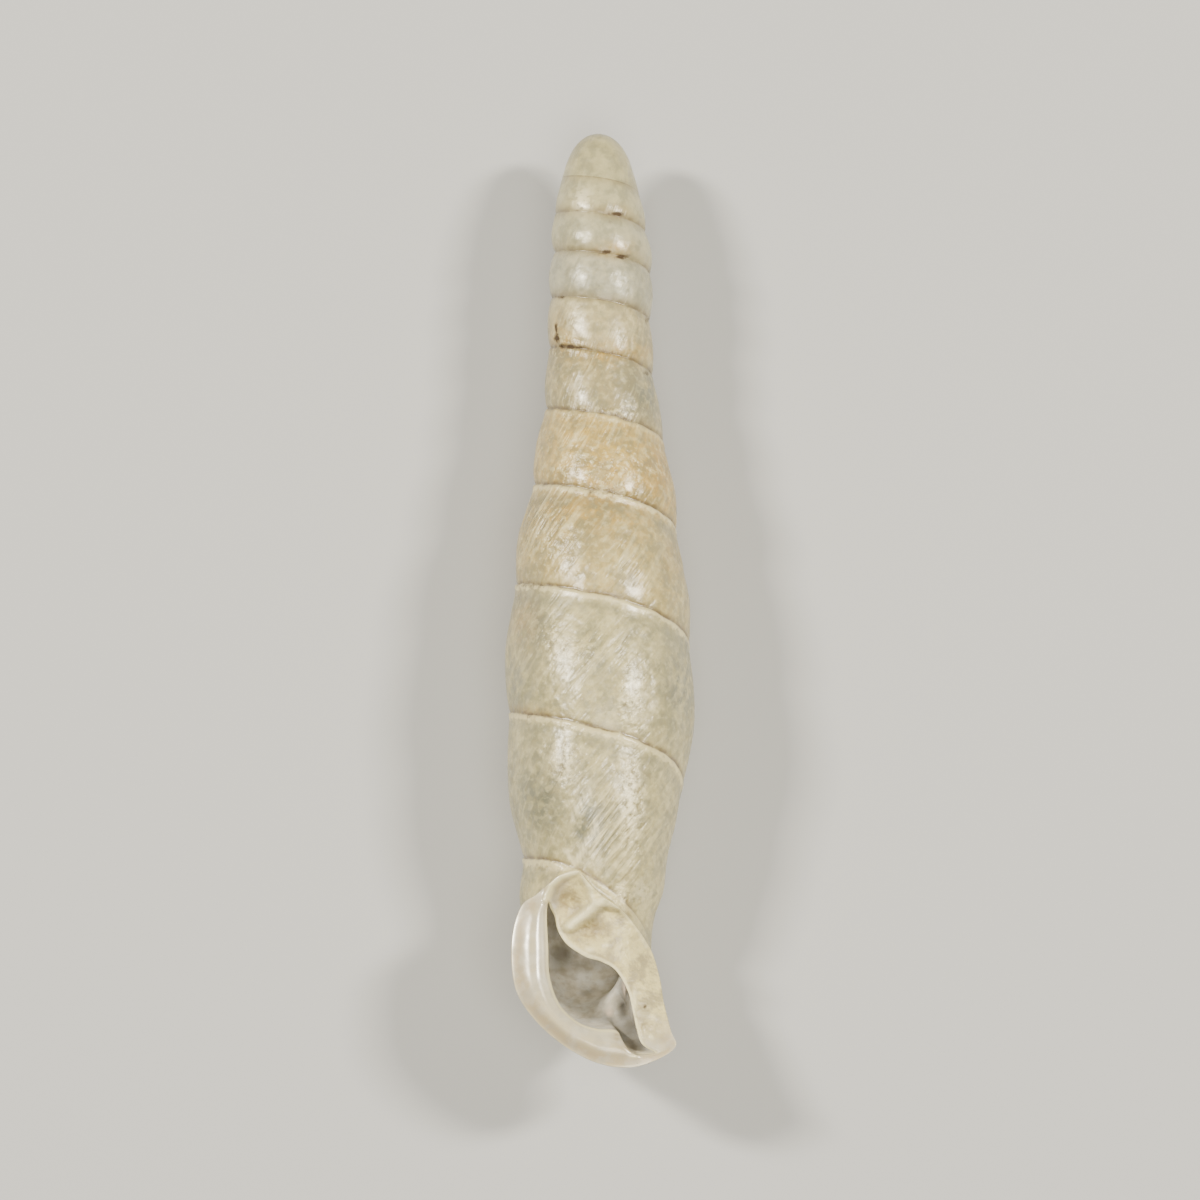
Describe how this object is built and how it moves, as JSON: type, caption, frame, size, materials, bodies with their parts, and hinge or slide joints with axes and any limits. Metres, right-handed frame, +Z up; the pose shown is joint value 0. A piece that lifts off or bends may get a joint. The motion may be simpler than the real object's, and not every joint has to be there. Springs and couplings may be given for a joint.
{
  "type": "door snail shell",
  "caption": "Slender left-coiled door snail shell lying on its back, with a tall whorled spire, a narrow neck and a thick turned-back mouth rim with inner folds.",
  "frame": {"origin": "on the surface the shell lies on, at the middle of the box round the shell", "axes": "+Y along the shell's axis towards the apex, +Z up out of the mouth, +X to the right when the apex points away"},
  "size_m": [0.0061, 0.0312, 0.0059],
  "materials": {
    "shell": "satin"
  },
  "bodies": {
    "root": {"shell": "shell"}
  },
  "joints": []
}
